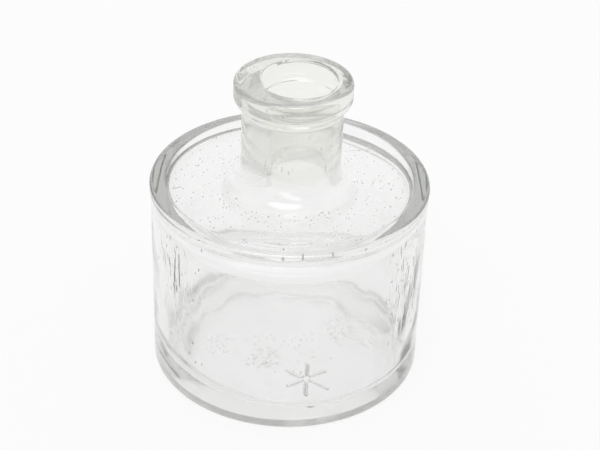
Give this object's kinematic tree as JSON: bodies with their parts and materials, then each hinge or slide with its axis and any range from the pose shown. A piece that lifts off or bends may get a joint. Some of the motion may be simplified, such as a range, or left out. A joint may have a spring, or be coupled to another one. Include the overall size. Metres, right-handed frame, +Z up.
{
  "type": "round glass bottle",
  "caption": "Squat round clear glass bottle with a raised flat rim round a sunk shoulder, a short neck, a thick collar lip and an open mouth.",
  "frame": {"origin": "middle of the underside, on the plane that the bottle stands on", "axes": "+Z up along the bottle's axis, +Y towards the back of the pictured view, +X to its right"},
  "size_m": [0.06, 0.06, 0.0685],
  "materials": {
    "glass": "clear old moulded glass, faintly grey-green where it is thick, with small seeds"
  },
  "bodies": {
    "root": {"lip": "glass", "neck": "glass", "shoulder": "glass", "rim": "glass", "body_wall": "glass", "base": "glass"}
  },
  "joints": []
}
